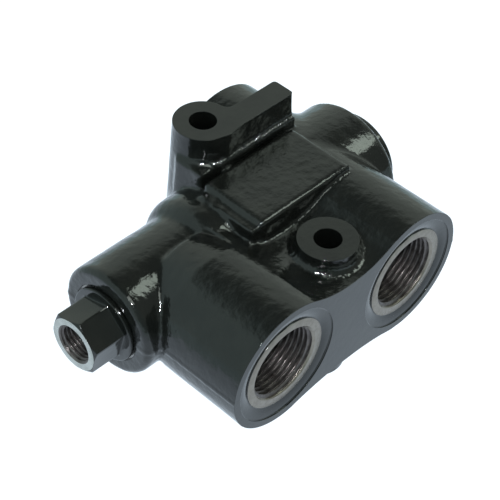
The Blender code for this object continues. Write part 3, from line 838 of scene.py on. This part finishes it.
def hexagon_radius(across_flats, angles, turn, edge):
    """Polar radius of a hexagon with rounded corners."""
    flat = across_flats / 2
    from_corner = (angles - radians(turn) + pi / 6) % (pi / 3) - pi / 6
    from_flat = pi / 6 - np.abs(from_corner)
    sides = flat / np.cos(from_flat)
    centre = (flat - edge) / cos(pi / 6)
    reach = np.maximum(edge**2 - (centre * np.sin(from_corner)) ** 2, 0)
    arc = centre * np.cos(from_corner) + np.sqrt(reach)
    on_arc = np.abs(from_corner) < np.arctan2(edge * sin(pi / 6), centre + edge * cos(pi / 6))
    return np.where(on_arc, arc, sides)


def outside_thread(radius, thread, start, end, angles):
    """Rings along an outside thread that fades out at both ends."""
    depth, pitch = thread
    steps = int(abs(end - start) / (pitch / 8))
    rings = []
    for x in np.linspace(start, end, steps + 1):
        fade = min(1.0, abs(x - start) / pitch, abs(end - x) / pitch)
        wave = 0.5 + 0.5 * np.cos(2 * pi * x / pitch - angles)
        rings.append((radius - depth * wave * fade, x))
    return rings


def loft_along(name, rings, angles):
    """A loft along the spool axis from rings of (radius or radii, x)."""
    points = [axis_points("x", (0, 0, 0), radii, x, angles) for radii, x in rings]
    return loft(name, np.array(points))


def outline_rings(corners):
    return [(point.x, point.y) for point in rounded_outline(corners, loop=False)]


def make_adapter():
    """The hexagon adapter that holds the load-sensing port."""
    angles = np.linspace(0, 2 * pi, 144, endpoint=False)
    flange_left, flange_right = ADAPTER_FLANGE_X
    inner_x = ADAPTER_INNER_X
    rings = outline_rings([(0.4, inner_x, 0), (9.2, inner_x, 0), (ADAPTER_THREAD_R, inner_x - 0.8, 0)])
    end = ADAPTER_THREAD_END_X
    rings += outside_thread(ADAPTER_THREAD_R, SCREW_THREAD, inner_x - 0.85, end + 0.1, angles)
    rings += outline_rings([
        (ADAPTER_THREAD_R, end, 0), (ADAPTER_NECK_R, end, 0.3), (ADAPTER_NECK_R, flange_right, 0.3),
        (ADAPTER_FLANGE_R, flange_right, 0.3), (ADAPTER_FLANGE_R, flange_left, 0.45), (11.0, flange_left, 0),
    ])
    hexagon = hexagon_radius(HEX_AF, angles, HEX_TURN, HEX_EDGE)
    rings.append((hexagon + 0.35, flange_left))
    rings.append((hexagon + 0.10, flange_left - 0.1))
    rings.append((hexagon, flange_left - 0.35))
    chamfer_start = ADAPTER_END_X + 0.85
    rings.append((hexagon, chamfer_start + 0.1))
    for x in np.linspace(chamfer_start, ADAPTER_END_X + 0.12, 7):
        turned_off = ADAPTER_CHAMFER_R + (x - ADAPTER_END_X) * ADAPTER_CHAMFER_SLOPE
        rings.append((np.minimum(hexagon, turned_off), x))
    rings.append((np.minimum(hexagon, ADAPTER_CHAMFER_R), ADAPTER_END_X + 0.02))
    rings += [(8.95, ADAPTER_END_X), (0.4, ADAPTER_END_X)]
    adapter = loft_along(piece_name("ls_port_adapter"), rings, angles)
    mouth = [(ADAPTER_MOUTH_R, -3.0), (ADAPTER_MOUTH_R, 0.0), (LS_THREAD[0] + 0.6, 0.5)]
    floor = [(3.2, 10.9), (3.2, 15.9), (1.5, 15.9), (1.5, 20.0)]
    place = (ADAPTER_END_X, 0, 0)
    port = threaded_hole("ls_port", "x", place, -1, mouth, LS_THREAD, 0.5, 10.9, floor, 96)
    pocket_corners = [(0.3, -48.9, 0), (7.2, -48.9, 0), (7.2, -42.0, 0), (0.3, -42.0, 0)]
    pocket = turned("pocket", pocket_corners, loop=False)
    apply_cut(adapter, [port, pocket])
    give_finishes(adapter.data, HEX_PAINT, HEX_FACE, THREAD_IRON, TURNED_STEEL)
    for face in adapter.data.polygons:
        radius = hypot(face.center.y, face.center.z)
        if abs(face.center.x - ADAPTER_END_X) < 0.05 and face.normal.x < -0.9:
            face.material_index = 1
        elif radius < ADAPTER_MOUTH_R + 0.08 and face.center.x < flange_right + 0.3:
            face.material_index = 2
        elif face.center.x > flange_right + 0.1:
            face.material_index = 3
    return settle(adapter, "housing", ["ls_port_adapter"], 28)


def make_end_plug():
    """The end plug: a low round head with a hexagon socket, over a threaded cup."""
    angles = np.linspace(0, 2 * pi, 144, endpoint=False)
    end, inner_x = PLUG_THREAD_END_X, PLUG_INNER_X
    rings = outline_rings([
        (0.4, PLUG_END_X, 0), (PLUG_HEAD_R, PLUG_END_X, 0.7), (PLUG_HEAD_R, PLUG_HEAD_X, 0.3),
        (PLUG_NECK_R, PLUG_HEAD_X, 0.2), (PLUG_NECK_R, end, 0.2), (PLUG_THREAD_R, end, 0),
    ])
    rings += outside_thread(PLUG_THREAD_R, SCREW_THREAD, end - 0.1, inner_x + 0.8, angles)
    rings += outline_rings([
        (PLUG_THREAD_R, inner_x + 0.75, 0), (12.4, inner_x, 0), (PLUG_CUP_R, inner_x, 0.2),
        (PLUG_CUP_R, PLUG_CUP_X, 0.5), (0.4, PLUG_CUP_X, 0),
    ])
    plug = loft_along(piece_name("end_plug"), rings, angles)
    socket = hexagon_radius(PLUG_SOCKET_AF, angles, 0.0, 0.3)
    steps = [(socket, -PLUG_SOCKET_DEPTH), (socket, -0.5), (socket + 0.8, 0.3), (socket + 0.8, 2.0)]
    cutter = loft_along("socket", [(radii, PLUG_END_X + x) for radii, x in steps], angles)
    apply_cut(plug, [cutter])
    give_finishes(plug.data, HEX_PAINT, TURNED_STEEL)
    for face in plug.data.polygons:
        if face.center.x < PLUG_HEAD_X - 0.05:
            face.material_index = 1
    return settle(plug, "housing", ["end_plug"], 28)


def finish_turned(piece, node, body, finish, sharp=28):
    give_finishes(piece.data, finish)
    return settle(piece, body, [node], sharp)


def flat_ring(node, inner, edge=0.15):
    """A flat turned ring that fills its CAD node's box."""
    low, high, outer = span(node)
    corners = [(inner, high, edge), (outer, high, edge), (outer, low, edge), (inner, low, edge)]
    return turned(piece_name(node), corners)


def make_ring(node, inner, body, finish, edge=0.15):
    return finish_turned(flat_ring(node, inner, edge), node, body, finish)


def make_o_ring(node, cord_r):
    low, high, outer = span(node)
    middle = (low + high) / 2
    angles = np.linspace(0, 2 * pi, 24, endpoint=False)
    corners = [(outer - cord_r + cord_r * sin(a), middle + cord_r * cos(a), 0) for a in angles]
    ring = turned(piece_name(node), corners)
    return finish_turned(ring, node, "housing", NITRILE, 60)


def make_jet(node, body, slot_high):
    """A screwed brass jet: threaded outside, with a fine bore and a driver slot in one end."""
    low, high, radius = span(node)
    angles = np.linspace(0, 2 * pi, 64, endpoint=False)
    rings = [(0.25, low), (radius - 0.4, low)]
    rings += outside_thread(radius, JET_THREAD, low + 0.4, high - 0.4, angles)
    rings += [(radius - 0.4, high), (0.25, high)]
    jet = loft_along(piece_name(node), rings, angles)
    corners = [
        (0.1, low - 1, 0), (1.1, low - 1, 0), (0.5, low + 0.6, 0),
        (0.5, high - 0.6, 0), (1.1, high + 1, 0), (0.1, high + 1, 0),
    ]
    bore = turned("bore", corners, loop=False, sides=40)
    ends = (high - 0.8, high + 1) if slot_high else (low - 1, low + 0.8)
    apply_cut(jet, [bore, block("slot", (ends[0], -radius - 1, -0.35), (ends[1], radius + 1, 0.35))])
    return finish_turned(jet, node, body, BRASS)


def make_screen(node, body):
    """A sintered bronze filter disc with a shallow dimple."""
    low, high, radius = span(node)
    corners = [
        (0.05, high - 0.2, 0), (radius * 0.45, high - 0.2, 0.3), (radius * 0.6, high, 0.3),
        (radius, high, 0.12), (radius, low, 0.12), (0.05, low, 0),
    ]
    screen = turned(piece_name(node), corners, loop=False)
    return finish_turned(screen, node, body, SINTERED)


def make_retainer():
    node = "ls_filter_retaining_ring"
    low, high, _ = span(node)
    ring = flat_ring(node, 4.3)
    apply_cut(ring, [block("gap", (low - 1, -0.8, 3.0), (high + 1, 0.8, 7.0))])
    return finish_turned(ring, node, "housing", SPRING_STEEL)


def make_spring_seat():
    corners = [
        (1.0, -42.5, 0.15), (3.4, -42.5, 0.2), (3.8, -43.0, 0.2), (3.8, -47.2, 0.3),
        (6.9, -47.2, 0.2), (6.9, -48.7, 0.2), (1.0, -48.7, 0.15),
    ]
    seat = turned(piece_name("spring_seat"), corners)
    return finish_turned(seat, "spring_seat", "housing", TURNED_STEEL)


def make_spring():
    """The control spring, with closed and ground ends."""
    node = "control_spring"
    low, high, outer = span(node)
    wire, turns, per_turn = SPRING_WIRE_R, SPRING_TURNS, 48
    mean = outer - wire
    closed_rise = 2 * wire + 0.25
    start, end = low + wire, high - wire
    open_rise = (end - start - 2 * closed_rise) / (turns - 2)
    t = np.linspace(0, turns, turns * per_turn + 1)
    x = start + closed_rise * (np.minimum(t, 1) + np.maximum(t - turns + 1, 0))
    x = x + open_rise * np.clip(t - 1, 0, turns - 2)
    around = 2 * pi * t
    out = np.stack([np.zeros_like(t), np.cos(around), np.sin(around)], axis=1)
    centre = out * mean + np.stack([x, np.zeros_like(t), np.zeros_like(t)], axis=1)
    ring = np.linspace(0, 2 * pi, 20, endpoint=False)
    points = centre[:, None] + wire * (
        np.cos(ring)[None, :, None] * out[:, None] + np.sin(ring)[None, :, None] * np.array([1.0, 0, 0])
    )
    points[..., 0] = np.clip(points[..., 0], low + 0.12, high - 0.12)
    spring = loft(piece_name(node), points)
    spring.data.materials.append(SPRING_STEEL)
    settle(spring, "housing", [node], 50)
    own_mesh(spring)
    return spring


def make_spool():
    """The priority spool: ground lands with fine balance grooves, two waists and a pilot passage."""
    corners = [(0.3, SPOOL_RIGHT_X, 0), (SPOOL_R, SPOOL_RIGHT_X, 0.5)]
    for index, (high, low, waist) in enumerate(SPOOL_LANDS):
        for x in np.linspace(high - 1.8, low + 1.8, 3):
            corners += [(SPOOL_R, x + 0.25, 0), (SPOOL_R - 0.3, x, 0), (SPOOL_R, x - 0.25, 0)]
        if waist:
            next_x = SPOOL_LANDS[index + 1][0]
            corners += [(SPOOL_R, low, 0.15), (waist, low - 1.5, 0.6)]
            corners += [(waist, next_x + 1.5, 0.6), (SPOOL_R, next_x, 0.15)]
    corners += [(SPOOL_R, SPOOL_LEFT_X, 0.5), (0.3, SPOOL_LEFT_X, 0)]
    spool = turned(piece_name("priority_spool"), corners, loop=False)
    drilling = [
        (0.1, SPOOL_RIGHT_X + 2, 0), (3.2, SPOOL_RIGHT_X + 2, 0), (3.2, 45.0, 0), (1.2, 44.0, 0),
        (1.2, -18.5, 0), (2.4, -18.5, 0), (2.4, SPRING_POCKET_X, 0), (SPRING_POCKET_R, SPRING_POCKET_X, 0.3),
        (SPRING_POCKET_R, SPOOL_LEFT_X - 2, 0), (0.1, SPOOL_LEFT_X - 2, 0),
    ]
    cross_hole = prism("cross_hole", "z", (-2.0, 0, 0), 1.0, -8, 8, 32)
    apply_cut(spool, [turned("drilling", drilling, loop=False), cross_hole])
    return finish_turned(spool, "priority_spool", "spool", GROUND_STEEL)


def make_fittings():
    make_o_ring("ls_adapter_o_ring", 0.7)
    make_o_ring("end_plug_o_ring", 0.75)
    make_ring("ls_adapter_backup_ring", 8.65, "housing", PTFE)
    make_ring("end_plug_backup_ring", 11.6, "housing", PTFE)
    make_jet("ls_inlet_jet", "housing", False)
    make_jet("ls_bleed_jet", "spool", False)
    make_jet("pilot_damping_jet", "spool", True)
    make_screen("ls_filter_screen", "housing")
    make_screen("pilot_filter_screen", "spool")
    make_retainer()
    make_spring_seat()
    make_ring("preload_shim_thick", 4.2, "housing", TURNED_STEEL, 0.05)
    make_ring("preload_shim_thin", 4.2, "housing", TURNED_STEEL, 0.03)
    make_ring("spool_spring_seat", 1.6, "spool", TURNED_STEEL)
    make_ring("spool_stop_washer", 2.2, "housing", TURNED_STEEL)


# ---------------- camera, light and floor

# The camera: its direction and roll, its distance from the point it aims at, and its shift across and up
AZIMUTH = radians(-48.59)
ELEVATION = radians(44.28)
ROLL = radians(-3.91)
DISTANCE = 498.8
AIM = Vector((0.0, -15.45, 0.0))
AIM_SHIFT = (5.96, -3.45)
LENS = 112.49


def world_point(point):
    return ORIGIN + Vector(point) * MM


def camera_axes():
    back = Vector((sin(AZIMUTH) * cos(ELEVATION), -cos(AZIMUTH) * cos(ELEVATION), sin(ELEVATION)))
    right = Vector((cos(AZIMUTH), sin(AZIMUTH), 0.0))
    up = back.cross(right)
    turned_right = right * cos(ROLL) - up * sin(ROLL)
    turned_up = right * sin(ROLL) + up * cos(ROLL)
    return turned_right, turned_up, back


def make_camera():
    right, up, back = camera_axes()
    data = bpy.data.cameras.new("camera")
    data.sensor_width = 36.0
    data.lens = LENS
    data.clip_start = 0.01
    camera = bpy.data.objects.new("camera", data)
    bpy.context.scene.collection.objects.link(camera)
    place = AIM - right * AIM_SHIFT[0] - up * AIM_SHIFT[1] + back * DISTANCE
    turn = Matrix((right, up, back)).transposed()
    camera.matrix_world = Matrix.LocRotScale(world_point(place), turn.to_quaternion(), None)
    bpy.context.scene.camera = camera
    return world_point(place)


def make_light(name, place, size, radiance, colour, lie=(1, 0, 0)):
    """A flat light at place that faces the valve, with its width turned towards the direction lie."""
    data = bpy.data.lights.new(name, "AREA")
    data.shape = "RECTANGLE"
    data.size, data.size_y = size
    data.energy = radiance * pi * size[0] * size[1]
    data.color = colour
    lamp = bpy.data.objects.new(name, data)
    bpy.context.scene.collection.objects.link(lamp)
    away = (Vector(place) - world_point((0, 0, 0))).normalized()
    across = (Vector(lie) - away * away.dot(Vector(lie))).normalized()
    turn = Matrix((across, away.cross(across), away)).transposed()
    lamp.matrix_world = Matrix.LocRotScale(place, turn.to_quaternion(), None)
    return lamp


def make_world():
    """A dim green-grey room, darker overhead and in front, that shows as plain white behind the object."""
    world = bpy.data.worlds.new("studio")
    bpy.context.scene.world = world
    world.use_nodes = True
    nodes = Nodes(world.node_tree)
    direction = nodes.add("ShaderNodeTexCoord").outputs["Generated"]
    x, y, z = nodes.add("ShaderNodeSeparateXYZ", Vector=direction).outputs
    height = nodes.maths("ADD", z, nodes.maths("MULTIPLY", x, 0.13))
    overhead = nodes.remap(height, 0.70, 0.92, 1.0, 0.22)
    ahead = nodes.remap(y, -0.62, -0.3, 0.38, 1.0)
    colour = nodes.mix(nodes.remap(x, -0.3, 0.6), (0.60, 0.76, 0.74), (0.67, 0.76, 0.69))
    strength = nodes.maths("MULTIPLY", overhead, ahead)
    room = nodes.add("ShaderNodeBackground", Color=colour, Strength=strength)
    white = nodes.add("ShaderNodeBackground", Color=(1.0, 1.0, 1.0, 1.0), Strength=1.05)
    nodes.split_by_ray(white.outputs[0], room.outputs[0], world.node_tree.nodes["World Output"])


def make_floor():
    """A pale, evenly lit floor under the valve's feet; further out it reflects as dim as the room."""
    side, cells = 1.6, 8
    step = 2 * side / cells
    row = cells + 1
    points = [(-side + step * i, -side + step * j, -0.00005) for j in range(row) for i in range(row)]
    starts = [j * row + i for j in range(cells) for i in range(cells)]
    faces = [(start, start + 1, start + row + 1, start + row) for start in starts]
    mesh = bpy.data.meshes.new("floor")
    mesh.from_pydata(points, [], faces)
    floor = bpy.data.objects.new("floor", mesh)
    bpy.context.scene.collection.objects.link(floor)
    material = bpy.data.materials.new("floor")
    material.use_nodes = True
    nodes = Nodes(material.node_tree)
    place = nodes.add("ShaderNodeTexCoord").outputs["Object"]
    away = nodes.add("ShaderNodeVectorMath", {"operation": "LENGTH"}, Vector=place)
    far = nodes.remap(away.outputs["Value"], 0.13, 0.24)
    reflected = nodes.mix(far, (0.86, 1.0, 1.13), (0.60, 0.78, 0.79))
    paper = nodes.add("ShaderNodeEmission", Color=reflected, Strength=1.0)
    shader = nodes.tree.nodes["Principled BSDF"]
    nodes.feed(shader, Base_Color=(0.15, 0.15, 0.15, 1.0), Roughness=0.9, Specular_IOR_Level=0.0)
    nodes.feed(shader, Emission_Color=(0.86, 0.93, 1.0, 1.0), Emission_Strength=1.18)
    nodes.split_by_ray(shader.outputs[0], paper.outputs[0], nodes.tree.nodes["Material Output"])
    mesh.materials.append(material)


def make_studio():
    scene = bpy.context.scene
    scene.view_settings.view_transform = "Standard"
    camera_place = make_camera()
    make_world()
    make_floor()
    centre = world_point((0, 0, 0))
    above_right = Vector((0.556, -0.321, 0.767)).normalized() * 2.0
    along_valve = (0.558, -0.541, -0.633)
    make_light("softbox", centre + above_right, (0.98, 0.48), 5.0, (0.86, 1.0, 0.88), along_valve)
    above_front = Vector((-0.16, -0.44, 0.88)).normalized() * 2.0
    make_light("front_softbox", centre + above_front, (1.2, 0.6), 4.0, (0.9, 1.0, 0.92))
    above_camera = camera_place + camera_axes()[1] * 0.03
    flash = make_light("flash", above_camera, (0.03, 0.02), 1500.0, (0.9, 0.94, 1.0))
    flash.visible_diffuse = False


make_studio()
make_body()
make_adapter()
make_end_plug()
make_spool()
make_spring()
make_fittings()
